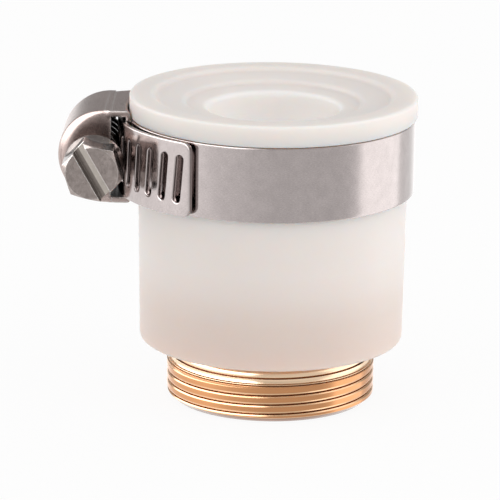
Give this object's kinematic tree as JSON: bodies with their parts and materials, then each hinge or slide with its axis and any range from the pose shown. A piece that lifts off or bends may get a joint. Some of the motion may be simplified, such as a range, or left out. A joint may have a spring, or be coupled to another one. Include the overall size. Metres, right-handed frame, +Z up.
{
  "type": "faucet aerator adapter",
  "caption": "Soft sleeve with a worm-drive band clamp and a threaded brass nipple, which fits a round tap spout without threads to an aerator or hose end.",
  "frame": {"origin": "on the water way's axis, at the nipple's foot face", "axes": "+Z up along the water way from the threaded outlet to the spout's mouth, -X to the screw housing, -Y to the screw's head"},
  "size_m": [0.0375, 0.0302, 0.0327],
  "materials": {
    "silicone": "milky translucent, smooth",
    "brass": "turned",
    "band_steel": "satin rolled",
    "housing_steel": "pressed, satin",
    "screw_steel": "rolled and turned, satin"
  },
  "bodies": {
    "adapter": {"sleeve": "silicone", "thread_nipple": "brass", "clamp_band": "band_steel", "screw_housing": "housing_steel"},
    "screw": {"worm_screw": "screw_steel"}
  },
  "joints": [
    {"name": "screw_turn", "type": "hinge", "parent": "adapter", "child": "screw", "pos_m": [-0.01835, 0, 0.02645], "axis": [0, 1, 0], "range_deg": [-3600, 2880], "deforming": ["clamp_band"]}
  ]
}
